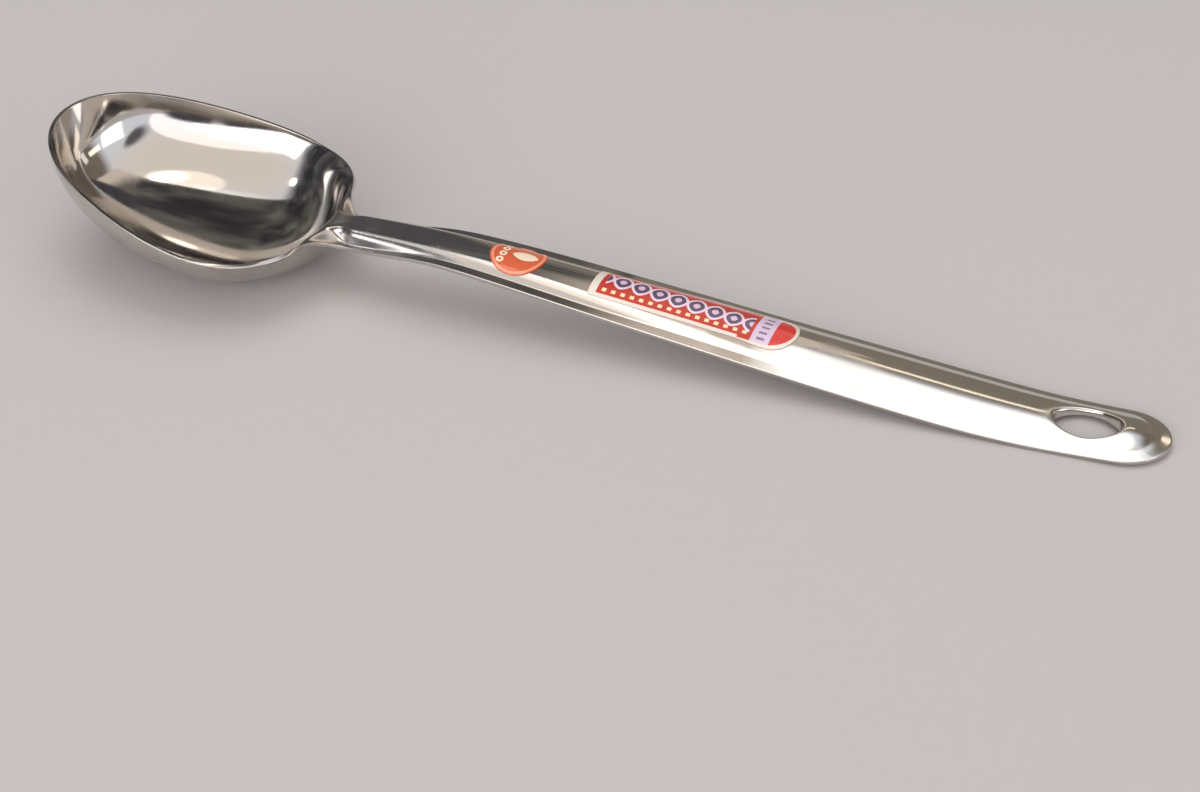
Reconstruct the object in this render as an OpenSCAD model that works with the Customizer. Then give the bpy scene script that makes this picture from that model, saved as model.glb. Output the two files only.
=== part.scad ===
// Serving spoon pressed from one sheet of stainless steel, with two stickers on its handle.
// +X runs from the bowl to the handle's end, +Z is up, and the spoon rests on Z = 0
// on the bottom of its bowl and on the low part of its handle.
// The sheet is one surface: for each place along the spoon there is an edge height,
// a half width, a bowl depth and a ridge height, and the sheet's underside follows it.

/* [Overall] */
// Whole length, from the bowl's tip to the handle's end
spoon_l = 326; // [280:1:380]
// Thickness of the steel sheet
sheet_t = 1.2; // [0.8:0.1:1.6]

/* [Bowl] */
// Length of the bowl, inside its rim
bowl_l = 84.2; // [72:0.1:100]
// Greatest width of the bowl, inside its rim
bowl_w = 70.7; // [60:0.1:82]
// Depth of the bowl below its rim, halfway along it
bowl_depth = 22.6; // [17:0.1:26]
// Height of the rim above the table at the bowl's tip
tip_rise = 37.5; // [33:0.1:42]
// Height of the rim above the table a quarter of the way along the bowl
quarter_rise = 31.1; // [28:0.1:34]
// Height of the rim above the table halfway along the bowl
rim_rise = 25; // [22:0.1:28]
// Height of the rim above the table three quarters of the way along the bowl
back_rise = 20.2; // [18:0.1:23]
// Length over which the bowl's rim flows out into the neck
shoulder_l = 6; // [4:0.5:8]

/* [Neck and handle] */
// Height of the rim above the table where bowl and neck meet
neck_rise = 18.8; // [16.5:0.1:21]
// Depth by which the neck's edges turn down below the bowl's rim
neck_drop = 3.3; // [2:0.1:4.5]
// Length over which the neck's edges turn down
drop_l = 5; // [4:0.1:8]
// Length over which the turned-down edges rise again along the handle
drop_fade_l = 35; // [25:1:50]
// Height of the sheet's edge above the table where the handle starts to widen
start_rise = 16.9; // [14:0.1:19]
// Height of the sheet's edge above the table halfway along the handle
middle_rise = 11.1; // [9:0.1:13]
// Height of the sheet's edge above the table where the handle is widest
wide_rise = 5.1; // [3.9:0.1:7]
// Height of the sheet's edge above the table where the handle touches it
touch_rise = 1.3; // [1.2:0.1:2]
// Height of the sheet's edge above the table at the handle's end
end_rise = 2; // [1.7:0.1:4]
// Width of the neck
neck_w = 12.9; // [11:0.1:16]
// Width of the handle where it starts to widen
start_w = 19.8; // [16.5:0.1:22]
// Width halfway along the handle
middle_w = 24.1; // [21:0.1:27]
// Greatest width of the handle
wide_w = 26.3; // [23:0.1:30]
// Width just before the rounded end
end_w = 23.3; // [21:0.1:27]
// Length of the rounded end
end_round_l = 13.1; // [10:0.1:15]

/* [Ridge] */
// Width of the flat flange along each side of the ridge
flange_w = 2.9; // [2:0.1:3.4]
// Width of the flat flange at the handle's end
end_flange_w = 4.8; // [3.5:0.1:6]
// Height of the ridge at the neck, over the bowl's rim
neck_ridge_h = 2.6; // [1.8:0.1:3.6]
// Height of the ridge a quarter of the way along the handle
quarter_ridge_h = 3.2; // [2.4:0.1:4]
// Height of the ridge halfway along the handle
ridge_h = 3.3; // [2.4:0.1:4.2]
// Height of the ridge near the handle's end
end_ridge_h = 2.7; // [2:0.1:3.6]

/* [Hang hole] */
// Length of the hang hole
hole_l = 17.4; // [14:0.2:22]
// Width of the hang hole
hole_w = 11.4; // [8:0.2:12]
// Distance from the hole's middle to the handle's end
hole_from_end = 22; // [19:0.5:30]
// Radius of the hole's two ends
hole_end_r = 3.4; // [2:0.1:3.8]
// Depth of the collar that is drawn down around the hole, below the sheet's top
collar_drop = 3; // [2.2:0.1:3.6]
// Wall of that collar
collar_wall = 0.9; // [0.6:0.1:1.2]

/* [Stickers] */
// Thickness of the stickers
sticker_t = 0.15; // [0.1:0.01:0.3]
// Air under the stickers, so that they clear the sheet's facets
sticker_gap = 0.1; // [0.08:0.01:0.2]
// Diameter of the round price sticker
dot_d = 16; // [12:0.5:18]
// Distance from the bowl's tip to the middle of the round sticker
dot_from_tip = 142.5; // [130:0.5:152]
// Shift of the round sticker's middle towards the far side
dot_shift = 1.1; // [0:0.1:2]
// Length of the long sticker
label_l = 58; // [40:1:70]
// Width of the long sticker, measured flat across the handle
label_w = 15; // [10:0.5:16]
// Distance from the bowl's tip to the near end of the long sticker
label_from_tip = 165.5; // [157:0.5:180]
// Radius of the long sticker's rounded end
label_end_r = 5; // [3:0.5:7]
// Shift of the long sticker's middle line towards the far side
label_shift = 1.6; // [0:0.1:3]

/* [Hidden] */

// Places along the handle, as shares of its length from the bowl to its end
rise_place_shares = [0, 0.19, 0.42, 0.65, 0.84, 1];
width_place_shares = [0, 0.19, 0.45, 0.76];
ridge_place_shares = [0, 0.25, 0.5, 1];
// Places along the bowl where the rim's height is given, as shares of its length
rim_place_shares = [0, 0.25, 0.5, 0.75];
// The bowl's outline against an ellipse: fuller near the neck, and fuller at both ends
plan_lean_share = 0.21;
plan_full_share = 0.086;
// The bowl's depth is greater near the tip by this share
floor_lean_share = 0.236;
// Powers of the floor's curve: the lower, the steeper the bowl's end walls
tip_wall_power = 0.42;
neck_wall_power = 0.5;
// Power of the ridge's arch across the handle
ridge_shape = 2.3;
// Rows of points along the bowl, the neck, the handle and its end
bowl_rows = 34;
handle_rows = 42;
end_rows = 12;
// Points across half of the spoon
half_columns = 14;
// Overrun of the cuts through the sheet
overrun = 8;

top_l = spoon_l - sheet_t;
handle_l = top_l - bowl_l;
end_start = top_l - end_round_l;

// Smooth step from 0 to 1
function ease(t) = let(c = max(0, min(1, t))) c * c * (3 - 2 * c);
// Larger of two values with a rounded change-over of size k
function soft_max(a, b, k) = let(h = max(0, min(1, 0.5 + 0.5 * (a - b) / k)))
    b + (a - b) * h + k * h * (1 - h);
// Smooth curve through the points (xs, ys)
function curve_slope(xs, ys, i) = i == 0 ? (ys[1] - ys[0]) / (xs[1] - xs[0])
    : i == len(xs) - 1 ? (ys[i] - ys[i - 1]) / (xs[i] - xs[i - 1])
    : (ys[i + 1] - ys[i - 1]) / (xs[i + 1] - xs[i - 1]);
function curve_span(xs, x, i = 0) = i >= len(xs) - 2 || x < xs[i + 1] ? i : curve_span(xs, x, i + 1);
function curve(xs, ys, x) = let(
    c = max(xs[0], min(xs[len(xs) - 1], x)),
    i = curve_span(xs, c),
    w = xs[i + 1] - xs[i],
    t = (c - xs[i]) / w,
    a = curve_slope(xs, ys, i) * w,
    b = curve_slope(xs, ys, i + 1) * w,
    d = ys[i + 1] - ys[i])
    ys[i] + a * t + (3 * d - 2 * a - b) * t * t + (a + b - 2 * d) * t * t * t;
function places(shares, start, length) = [for (s = shares) start + s * length];

// Angle along the bowl: 0 at its tip, 180 where it meets the neck
function bowl_angle(x) = acos(max(-1, min(1, 1 - 2 * x / bowl_l)));

// Outline of the bowl at an angle along it, and its greatest value
function plan_shape(a) = sin(a) * (1 - plan_lean_share * cos(a) + plan_full_share * cos(2 * a));
plan_top = max([for (a = [60 : 2 : 130]) plan_shape(a)]);
// Depth of the bowl's floor at an angle along it, over the depth halfway
function floor_shape(a) = pow(max(0, sin(a)), tip_wall_power + (neck_wall_power - tip_wall_power) * ease((a - 45) / 135))
    * (1 + floor_lean_share * cos(a));

// Half width of the bowl's hollow at x
function hollow_half(x) = x >= bowl_l ? 0 : bowl_w / 2 * plan_shape(bowl_angle(x)) / plan_top;

// Half width of the handle at x
handle_widths = [neck_w, start_w, middle_w, wide_w, end_w, end_w];
width_places = concat(places(width_place_shares, bowl_l, handle_l), [end_start, top_l]);
function handle_half(x) = x > end_start ? end_w / 2 * sqrt(max(0, 1 - pow((x - end_start) / end_round_l, 2)))
    : curve(width_places, handle_widths, x) / 2;

// Half width of the whole sheet at x
function shoulder(x) = max(shoulder_l / 100, shoulder_l * ease((x / bowl_l - 0.5) / 0.3));
function sheet_half(x) = x < bowl_l / 2 ? hollow_half(x)
    : x > bowl_l + shoulder_l * 2 ? handle_half(x)
    : max(hollow_half(x), soft_max(hollow_half(x) - max(0, x - bowl_l), handle_half(x), shoulder(x)));

// Height above the table of a smooth line along the spoon's edge at x, as if the neck's edges stayed up
edge_places = concat(places(rim_place_shares, 0, bowl_l), places(rise_place_shares, bowl_l, handle_l));
edge_rises = [tip_rise, quarter_rise, rim_rise, back_rise,
    neck_rise, start_rise, middle_rise, wide_rise, touch_rise, end_rise];
function rim_line(x) = curve(edge_places, edge_rises, x);
// How far the neck's edges turn down at x: the turn starts just before the bowl's end
function turn_down(x) = neck_drop * ease((x - bowl_l) / drop_l + 0.2) * (1 - ease((x - bowl_l - drop_l) / drop_fade_l));
function edge_rise(x) = rim_line(x) - turn_down(x);

// Height of the ridge above the sheet's edge at x
ridge_places = places(ridge_place_shares, bowl_l, handle_l);
ridge_heights = [neck_ridge_h, quarter_ridge_h, ridge_h, end_ridge_h];
function ridge_rise(x) = curve(ridge_places, ridge_heights, x) * ease((x / bowl_l - 0.9) / 0.14) + turn_down(x);
// Distance from the ridge's middle line over the ridge's half width: 1 at its foot
function ridge_half(x) = max(flange_w / 30, handle_half(min(x, end_start)) - flange_w);
function ridge_ratio(x, y) = sqrt(pow(y / ridge_half(x), 2)
    + pow(max(0, x - end_start) / (end_round_l - end_flange_w), 2));
function ridge_at(x, y) = ridge_rise(x) * max(0, 1 - pow(ridge_ratio(x, y), ridge_shape));

// Depth of the bowl's hollow at (x, y)
function hollow_power(x) = 0.5 + 0.5 * ease((x / bowl_l - 0.65) / 0.35);
function hollow_at(x, y) = x >= bowl_l || hollow_half(x) <= abs(y) ? 0
    : bowl_depth * floor_shape(bowl_angle(x)) * pow(1 - pow(y / hollow_half(x), 2), hollow_power(x));

// Height of the sheet's top at (x, y)
function sheet_z(x, y) = edge_rise(x) + ridge_at(x, y) - hollow_at(x, y);

// Share of the half width for column j: even angles in the bowl, near even steps in the handle
function column_share(x, j) = let(t = j / half_columns, k = ease((x - bowl_l) / neck_w))
    sin(90 * t) * (1 - k) + t * k;
function top_point(x, j) = let(y = sheet_half(x) * sign(j) * column_share(x, abs(j))) [x, y, sheet_z(x, y)];

rows_x = concat(
    [for (i = [1 : bowl_rows]) bowl_l * (1 - cos(180 * i / bowl_rows)) / 2],
    [for (i = [1 : handle_rows]) bowl_l + (end_start - bowl_l) * pow(i / handle_rows, 1.4)],
    [for (i = [1 : end_rows - 1]) end_start + end_round_l * sin(90 * i / end_rows)]);
columns = [for (j = [-half_columns : half_columns]) j];
top_rows = [for (x = rows_x) [for (j = columns) top_point(x, j)]];
tip_top = [0, 0, edge_rise(0)];
end_top = [top_l, 0, edge_rise(top_l)];

function unit(v) = v / max(norm(v), 0.000001);
function clamp(i, n) = max(0, min(n - 1, i));
// Direction square to the sheet at row i, column j
function row_point(i, j) = i < 0 ? tip_top : i >= len(rows_x) ? end_top : top_rows[i][j];
function square_to(i, j) = let(
    n = len(columns),
    a = row_point(i + 1, j) - row_point(i - 1, j),
    b = row_point(i, clamp(j + 1, n)) - row_point(i, clamp(j - 1, n)))
    unit(cross(a, b));
under_rows = [for (i = [0 : len(rows_x) - 1]) [for (j = [0 : len(columns) - 1])
    top_rows[i][j] - sheet_t * square_to(i, j)]];
tip_under = tip_top - [sheet_t, 0, 0];
end_under = end_top - [0, 0, sheet_t];

lowest = min([for (r = under_rows) min([for (p = r) p[2]])]);
middle = (top_l - sheet_t) / 2;

function flat(rows) = [for (r = rows) for (p = r) p];
// Faces of a grid of points, and the two fans that close it at its ends
function grid_faces(rows, cols, first, up) = [for (i = [0 : rows - 2]) for (j = [0 : cols - 2])
    for (f = [[0, cols, cols + 1], [0, cols + 1, 1]])
    let(q = [for (k = f) first + i * cols + j + k]) up ? q : [q[0], q[2], q[1]]];
function fan_faces(row_first, cols, apex, up) = [for (j = [0 : cols - 2])
    up ? [apex, row_first + j, row_first + j + 1] : [apex, row_first + j + 1, row_first + j]];
function edge_faces(rows, cols, top_first, under_first, column, up) = [for (i = [0 : rows - 2])
    let(a = top_first + i * cols + column, b = a + cols,
        c = under_first + i * cols + column, d = c + cols)
    for (f = up ? [[a, c, d], [a, d, b]] : [[a, d, c], [a, b, d]]) f];

// The pressed sheet before its hole is cut
module sheet() {
    rows = len(rows_x);
    cols = len(columns);
    count = rows * cols;
    tip_a = 2 * count;
    tip_b = tip_a + 1;
    end_a = tip_a + 2;
    end_b = tip_a + 3;
    last = (rows - 1) * cols;
    polyhedron(
        points = concat(flat(top_rows), flat(under_rows), [tip_top, tip_under, end_top, end_under]),
        faces = concat(
            grid_faces(rows, cols, 0, false),
            grid_faces(rows, cols, count, true),
            fan_faces(0, cols, tip_a, false),
            fan_faces(count, cols, tip_b, true),
            fan_faces(last, cols, end_a, true),
            fan_faces(count + last, cols, end_b, false),
            edge_faces(rows, cols, 0, count, 0, false),
            edge_faces(rows, cols, 0, count, cols - 1, true),
            [[tip_a, 0, count], [tip_a, count, tip_b]],
            [[tip_a, count + cols - 1, cols - 1], [tip_a, tip_b, count + cols - 1]],
            [[end_a, count + last, last], [end_a, end_b, count + last]],
            [[end_a, last + cols - 1, count + last + cols - 1],
                [end_a, count + last + cols - 1, end_b]]),
        convexity = 10);
}

// Oval prism with two long arcs and two round ends, grown outwards by grow
module oval(grow, height) {
    a = hole_l / 2 - hole_end_r;
    b = hole_w / 2;
    long_r = (a * a + b * b - hole_end_r * hole_end_r) / (2 * (b - hole_end_r));
    reach = a * long_r / (long_r - hole_end_r);
    for (side = [-1, 1]) translate([side * a, 0, 0]) cylinder(r = hole_end_r + grow, h = height, $fn = 48);
    intersection() {
        translate([0, b - long_r, 0]) cylinder(r = long_r + grow, h = height, $fn = 144);
        translate([0, long_r - b, 0]) cylinder(r = long_r + grow, h = height, $fn = 144);
        translate([-reach, -hole_w, 0]) cube([2 * reach, 2 * hole_w, height]);
    }
}

hole_x = top_l - hole_from_end;
hole_z = sheet_z(hole_x, 0);

// The steel piece: bowl, neck and handle in one, with the collared hang hole
module spoon_body() {
    color("silver")
    translate([-middle, 0, -lowest])
    difference() {
        union() {
            sheet();
            translate([hole_x, 0, hole_z - collar_drop])
                oval(collar_wall, collar_drop - sheet_t * 0.6);
        }
        translate([hole_x, 0, hole_z - overrun]) oval(0, 2 * overrun);
    }
}

// Distance along the sheet's top across the handle, from its middle line to y
arc_steps = 8;
function arc_length(x, y) = let(d = y / arc_steps) sign(y) * (y == 0 ? 0 : arc_sum(x, d, arc_steps));
function arc_sum(x, d, n) = n == 0 ? 0
    : norm([d, sheet_z(x, d * n) - sheet_z(x, d * (n - 1))]) + arc_sum(x, d, n - 1);
// The y that lies at distance s across the handle, found by halving
function arc_place(x, s, low, high, n = 10) = n == 0 ? (low + high) / 2
    : arc_length(x, (low + high) / 2) < s ? arc_place(x, s, (low + high) / 2, high, n - 1)
    : arc_place(x, s, low, (low + high) / 2, n - 1);
// Point at x and at distance s across the sheet, lifted square to the sheet by lift
function wrap_point(x, s, lift) = let(
    y = arc_place(x, s, -sheet_half(x), sheet_half(x)),
    e = sheet_t / 8,
    slope_y = (sheet_z(x, y + e) - sheet_z(x, y - e)) / (2 * e),
    slope_x = (sheet_z(x + e, y) - sheet_z(x - e, y)) / (2 * e))
    [x, y, sheet_z(x, y)] + lift * unit([-slope_x, -slope_y, 1]);

// A thin sticker that lies on the sheet: xs are its rows, low and high its sides at each row
module sticker(xs, low, high, across) {
    rows = len(xs);
    cols = across + 1;
    count = rows * cols;
    function layer(lift) = [for (i = [0 : rows - 1]) for (j = [0 : across])
        wrap_point(xs[i], low[i] + (high[i] - low[i]) * j / across, lift)];
    polyhedron(
        points = concat(layer(sticker_gap + sticker_t), layer(sticker_gap)),
        faces = concat(
            grid_faces(rows, cols, 0, false),
            grid_faces(rows, cols, count, true),
            edge_faces(rows, cols, 0, count, 0, false),
            edge_faces(rows, cols, 0, count, cols - 1, true),
            [for (j = [0 : cols - 2]) for (f = [[j + 1, j, count + j], [j + 1, count + j, count + j + 1]]) f],
            [for (j = [0 : cols - 2]) let(k = (rows - 1) * cols + j)
                for (f = [[k, k + 1, count + k + 1], [k, count + k + 1, count + k]]) f]),
        convexity = 4);
}

dot_rows = 20;
// Round price sticker, wrapped over the ridge
module price_dot() {
    angles = [for (i = [0 : dot_rows]) 6 + 168 * i / dot_rows];
    color("orange")
    translate([-middle, 0, -lowest])
    sticker([for (a = angles) dot_from_tip - dot_d / 2 * cos(a)],
        [for (a = angles) dot_shift - dot_d / 2 * sin(a)],
        [for (a = angles) dot_shift + dot_d / 2 * sin(a)], 12);
}

label_rows = 20;
label_end_rows = 8;
// Long sticker with one square end and one end with rounded corners
module handle_label() {
    straight = label_l - label_end_r;
    xs = concat(
        [for (i = [0 : label_rows]) label_from_tip + straight * i / label_rows],
        [for (i = [1 : label_end_rows]) label_from_tip + straight + label_end_r * sin(90 * i / label_end_rows)]);
    half = [for (x = xs) let(d = max(0, x - label_from_tip - straight))
        label_w / 2 - label_end_r + sqrt(max(0, label_end_r * label_end_r - d * d))];
    color("firebrick")
    translate([-middle, 0, -lowest])
    sticker(xs, [for (h = half) label_shift - h], [for (h = half) label_shift + h], 12);
}

spoon_body();
price_dot();
handle_label();
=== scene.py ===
# %% [markdown]
# # A long serving spoon, pressed from one sheet of polished steel
# A serving spoon like this one is a single blank of stainless sheet. A press draws the bowl,
# raises the ridge that makes the handle stiff, and pulls a collar down around the hang hole.
# Polishing wheels then leave it as bright as a mirror. Two stickers from the shop are on it.
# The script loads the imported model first, so that all it makes sits where the model says.

# %% Load the frame
import math

import bmesh
import bpy
from mathutils import Matrix, Vector


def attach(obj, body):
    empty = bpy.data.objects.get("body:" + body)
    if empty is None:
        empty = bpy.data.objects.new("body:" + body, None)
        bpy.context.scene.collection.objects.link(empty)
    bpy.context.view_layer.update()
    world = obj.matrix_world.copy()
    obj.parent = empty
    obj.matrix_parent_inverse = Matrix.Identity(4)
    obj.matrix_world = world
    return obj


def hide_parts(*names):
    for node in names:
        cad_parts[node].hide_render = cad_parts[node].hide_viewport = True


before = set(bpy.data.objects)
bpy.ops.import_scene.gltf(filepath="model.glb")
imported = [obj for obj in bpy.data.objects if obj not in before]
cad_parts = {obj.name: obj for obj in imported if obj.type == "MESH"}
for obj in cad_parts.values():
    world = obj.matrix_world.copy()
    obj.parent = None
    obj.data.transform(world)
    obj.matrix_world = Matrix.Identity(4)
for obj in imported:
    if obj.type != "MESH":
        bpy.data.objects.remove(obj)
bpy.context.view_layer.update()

# %% [markdown]
# The loaded parts are all selected, and an operator acts on all that is selected. So everything
# is let go of before any new piece is started. Lengths below are in millimetres, as on a
# maker's drawing, and MM turns them into metres where Blender gets them.

# %% Small helpers
MM = 0.001


def let_go():
    """Leaves edit mode and deselects every object."""
    if bpy.context.object and bpy.context.object.mode != "OBJECT":
        bpy.ops.object.mode_set(mode="OBJECT")
    bpy.ops.object.select_all(action="DESELECT")


def named(name):
    """Names the object that an operator has just added, and its mesh."""
    piece = bpy.context.object
    piece.name = piece.data.name = name
    return piece


def ease(t):
    """A soft step: 0 below 0, 1 above 1."""
    c = min(1.0, max(0.0, t))
    return c * c * (3 - 2 * c)


let_go()
print(len(bpy.context.selected_objects), "objects selected now")

# %% [markdown]
# ## The drawing of the sheet
# The bowl's plan is an egg, wider towards its tip, and its walls stand upright at the rim. The
# rim dips from the tip to the neck, and the handle runs down in one long curve to the table.
# Nothing on it is straight, so the drawing is kept as a few short rules that give the height
# of the sheet anywhere. The same rules then place every vertex of the net and both stickers.

# %% Sizes of the spoon
BOWL_L, BOWL_W, BOWL_DEPTH = 84.2, 70.7, 22.6
SHEET_T, CUT_EDGE_R = 1.2, 0.2
TOP_L = 324.8  # the sheet's top, from the inside of the bowl's tip to the handle's end
HANDLE_L = TOP_L - BOWL_L
END_ROUND_L, END_W = 13.1, 23.3
END_START = TOP_L - END_ROUND_L
HOLE_X = TOP_L - 22.0
MIDDLE = (TOP_L - SHEET_T) / 2  # the frame's origin, from the inside of the tip
LIFT = 0.016  # the lowest point stands on the table


def along(shares, start, length):
    return [start + s * length for s in shares]


HANDLE_WIDTHS = [12.9, 19.8, 24.1, 26.3, END_W, END_W]
WIDTH_PLACES = along([0, 0.19, 0.45, 0.76], BOWL_L, HANDLE_L) + [END_START, TOP_L]
EDGE_RISES = [37.5, 31.1, 25, 20.2, 18.8, 16.9, 11.1, 5.1, 1.3, 2]
EDGE_PLACES = along([0, 0.25, 0.5, 0.75], 0, BOWL_L)
EDGE_PLACES += along([0, 0.19, 0.42, 0.65, 0.84, 1], BOWL_L, HANDLE_L)
RIDGE_HEIGHTS = [0.9, 3.0, 3.3, 2.7]
RIDGE_PLACES = along([0, 0.25, 0.5, 1], BOWL_L, HANDLE_L)
print("sheet", TOP_L + SHEET_T, "mm long, bowl", BOWL_L, "by", BOWL_W, "mm")

# %% Smooth curves through a few measured points


def curve(xs, ys, x):
    """Height at x of the smooth line through the points (xs, ys)."""
    c = max(xs[0], min(xs[-1], x))
    i = 0
    while i < len(xs) - 2 and c >= xs[i + 1]:
        i += 1
    last = len(xs) - 1

    def slope(k):
        a, b = max(0, k - 1), min(last, k + 1)
        return (ys[b] - ys[a]) / (xs[b] - xs[a])

    w = xs[i + 1] - xs[i]
    t = (c - xs[i]) / w
    a, b, d = slope(i) * w, slope(i + 1) * w, ys[i + 1] - ys[i]
    return ys[i] + a * t + (3 * d - 2 * a - b) * t * t + (a + b - 2 * d) * t ** 3


print("edge height half way along", round(curve(EDGE_PLACES, EDGE_RISES, TOP_L / 2), 1), "mm")

# %% Outline of the sheet


def egg(a):
    return math.sin(a) * (1 - 0.21 * math.cos(a) + 0.086 * math.cos(2 * a))


EGG_TOP = max(egg(math.radians(d)) for d in range(60, 132, 2))


def bowl_angle(x):
    return math.acos(max(-1.0, min(1.0, 1 - 2 * x / BOWL_L)))


def hollow_half(x):
    """Half the width of the bowl's hollow."""
    return 0.0 if x >= BOWL_L else BOWL_W / 2 * egg(bowl_angle(x)) / EGG_TOP


def handle_half(x):
    if x > END_START:
        return END_W / 2 * math.sqrt(max(0.0, 1 - ((x - END_START) / END_ROUND_L) ** 2))
    return curve(WIDTH_PLACES, HANDLE_WIDTHS, x) / 2


print("bowl's widest half", round(max(hollow_half(x) for x in range(84)), 1), "mm")

# %% Heights of the handle
NECK_DROP, DROP_L, DROP_FADE_L = 3.3, 5.0, 35.0
FLANGE_W, END_FLANGE_W = 2.9, 4.8
FLANGE_TILT, TILT_START, TILT_L = 0.75, 150, 60
FOOT_RUNOUT, RUNOUT_L = 1.9, 50
RIDGE_START_L = 9
ROUND_TOP, NECK_FLAT_TOP, FLAT_TOP_L = 2.3, 5.2, 60  # a higher power makes a flatter top


def turn_down(x):
    """How far the neck's edges are turned down."""
    drop = ease((x - BOWL_L) / DROP_L + 0.2)
    return NECK_DROP * drop * (1 - ease((x - BOWL_L - DROP_L) / DROP_FADE_L))


def edge_rise(x):
    return curve(EDGE_PLACES, EDGE_RISES, x) - turn_down(x)


def ridge_half(x):
    """Half the width of the ridge. Its foot runs out almost to the edge at the neck."""
    runout = FOOT_RUNOUT * (1 - ease((x - BOWL_L) / RUNOUT_L))
    return handle_half(min(x, END_START)) - FLANGE_W + runout


def ridge_at(x, y):
    """Height of the ridge above the sheet's edge, with the slope of the flange beside it."""
    rise = curve(RIDGE_PLACES, RIDGE_HEIGHTS, x) * ease((x - BOWL_L) / RIDGE_START_L)
    rise += turn_down(x)
    half = ridge_half(x)
    past = max(0.0, x - END_START) / (END_ROUND_L - END_FLANGE_W)
    ratio = math.hypot(y / half, past)
    tilt = FLANGE_TILT * ease((x - TILT_START) / TILT_L)
    power = ROUND_TOP + NECK_FLAT_TOP * (1 - ease((x - BOWL_L) / FLAT_TOP_L))
    ridge = (rise - tilt) * max(0.0, 1 - ratio ** power)
    return ridge + tilt * (1 - min(1.0, max(0.0, ratio - 1) * half / FLANGE_W))


def neck_z(x, y):
    """Height of the sheet outside the bowl's hollow."""
    return edge_rise(x) + ridge_at(x, y)


print("ridge", round(ridge_at(TOP_L / 2, 0), 1), "mm high half way along the spoon")

# %% Heights of the bowl


def hollow_point(p, q):
    """Point in the hollow. p runs from -1 at the tip to 1 at the neck, and q is 0 on the
    middle line. The rim is where p * p + q * q is 1."""
    x = BOWL_L / 2 * (1 + p)
    a = bowl_angle(x)
    room = math.sqrt(max(1e-12, 1 - p * p))
    share = min(1.0, q / room)
    y = share * hollow_half(x)
    # The depth along the middle line, which is deepest nearer to the tip.
    wall = 0.42 + 0.08 * ease((math.degrees(a) - 45) / 135)
    floor = max(0.0, math.sin(a)) ** wall * (1 + 0.236 * math.cos(a))
    # The curve across: a low power makes an upright wall, and it is softer at the neck.
    bend = 0.53 + 0.12 * ease((x / BOWL_L - 0.3) / 0.35)
    bend += 0.35 * ease((x / BOWL_L - 0.65) / 0.35)
    depth = BOWL_DEPTH * floor * max(0.0, 1 - share * share) ** bend
    return Vector((x, y, neck_z(x, y) - depth))


print("bowl floor at its middle", round(hollow_point(0, 0).z, 1), "mm")
print("rim beside it", round(hollow_point(0, 1).z, 1), "mm")

# %% [markdown]
# ## The net for the bowl
# A mirror shows every fault of a surface, so the net matters more than the vertex count. Rings
# round a pole would pinch in the middle of the bowl, just where its reflection is seen best.
# Here a square net is bent to the bowl's round plan, so that every vertex inside it has four
# neighbours. The net's lines are then spread so that they lie evenly on the floor and the walls.

# %% Even steps up the bowl's wall
STEPS = 160


def ray(turn):
    """Lengths walked from the bowl's middle out to the rim, with the radii."""
    out, total, last = [], 0.0, None
    for k in range(STEPS + 1):
        r = math.sin(math.pi / 2 * k / STEPS)
        point = hollow_point(r * math.cos(turn), r * math.sin(turn))
        total += (point - last).length if last else 0.0
        out.append((total, r))
        last = point
    return out


def reach_to_radius(turn, reach):
    """Radius in the plan at a share of the way up the wall."""
    steps = ray(turn)
    goal = reach * steps[-1][0]
    for (a, ra), (b, rb) in zip(steps, steps[1:]):
        if b >= goal:
            return ra + (rb - ra) * (goal - a) / max(1e-9, b - a)
    return 1.0


print("from the middle up to the neck's rim", round(ray(0)[-1][0], 1), "mm of sheet")

# %% Rows and columns of the bowl
ROUND_CORNER = (math.sqrt(0.5), math.sqrt(0.5))
NECK_CORNER = (0.944, math.sqrt(1 - 0.944 ** 2))
TIP_ROWS = [1, 0.975, 0.91, 0.83, 0.75, 0.66, 0.57, 0.475, 0.38, 0.285, 0.19, 0.095]
NECK_ROWS = [0, 0.095, 0.19, 0.285, 0.38, 0.475, 0.57, 0.66]
NECK_ROWS += [0.74, 0.81, 0.87, 0.92, 0.963, 1]
WIDE_COLUMNS = [0, 0.1, 0.2, 0.3, 0.4, 0.5, 0.6, 0.7, 0.8, 0.9, 0.975, 1]
NARROW_COLUMNS = [0, 0.055, 0.11, 0.165, 0.215, 0.26, 0.3, 0.335, 0.37, 0.5, 0.91, 1]


def bowl_row(s, corner, columns):
    """One row of the net across half of the bowl, at s of the way from its middle."""
    row = []
    for t in columns:
        p = s * math.sqrt(1 - (corner[1] * t) ** 2)
        q = t * math.sqrt(1 - (corner[0] * s) ** 2)
        turn, reach = math.atan2(q, p), min(1.0, math.hypot(p, q))
        edge = max(abs(s), t)
        if edge < 1:  # leaves room for the rounded rim at the net's corners
            reach = min(reach, 0.99 - 0.385 * (1 - edge))
        r = reach_to_radius(turn, reach)
        row.append(hollow_point(r * math.cos(turn), r * math.sin(turn)))
    return row


def narrowing(s):
    """Column places that close up from the wide bowl to the neck's ridge."""
    k = ease((s - 0.25) / 0.75)
    return [a + (b - a) * k for a, b in zip(WIDE_COLUMNS, NARROW_COLUMNS)]


FLARE = 1.5  # how far the rim leans out where it runs into the neck


def outward(x):
    """Direction square to the rim at x, seen from above, away from the middle line."""
    slope = (hollow_half(x + 0.05) - hollow_half(x - 0.05)) / 0.1
    return Vector((-slope, 1, 0)).normalized()


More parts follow.
